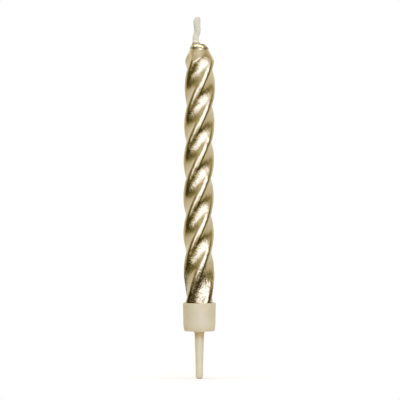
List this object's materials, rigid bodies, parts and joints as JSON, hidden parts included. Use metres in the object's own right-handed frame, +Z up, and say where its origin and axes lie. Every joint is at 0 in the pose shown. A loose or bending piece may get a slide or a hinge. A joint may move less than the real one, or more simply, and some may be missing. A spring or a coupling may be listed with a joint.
{
  "type": "spiral birthday candle",
  "caption": "Twisted, lobed birthday candle with a metallic gold coat and a flat cotton wick, standing in a plastic holder whose cup carries a spike for the cake.",
  "frame": {"origin": "on the candle's axis at the underside of the holder's cup, the face that seats on the cake", "axes": "+Z up along the candle towards the wick, +X to the right and +Y away from the camera in the front view"},
  "size_m": [0.007, 0.007, 0.0767],
  "materials": {
    "ivory_plastic": "satin",
    "wax": "matte",
    "gold_lacquer": "gloss",
    "cotton": "matte"
  },
  "bodies": {
    "holder": {"holder": "ivory_plastic"},
    "candle": {"wax_core": "wax", "gold_coat": "gold_lacquer", "wick": "cotton"}
  },
  "joints": [
    {"name": "candle_lift", "type": "slide", "parent": "holder", "child": "candle", "axis": [0, 0, 1], "range_m": [0, 0.008]}
  ]
}
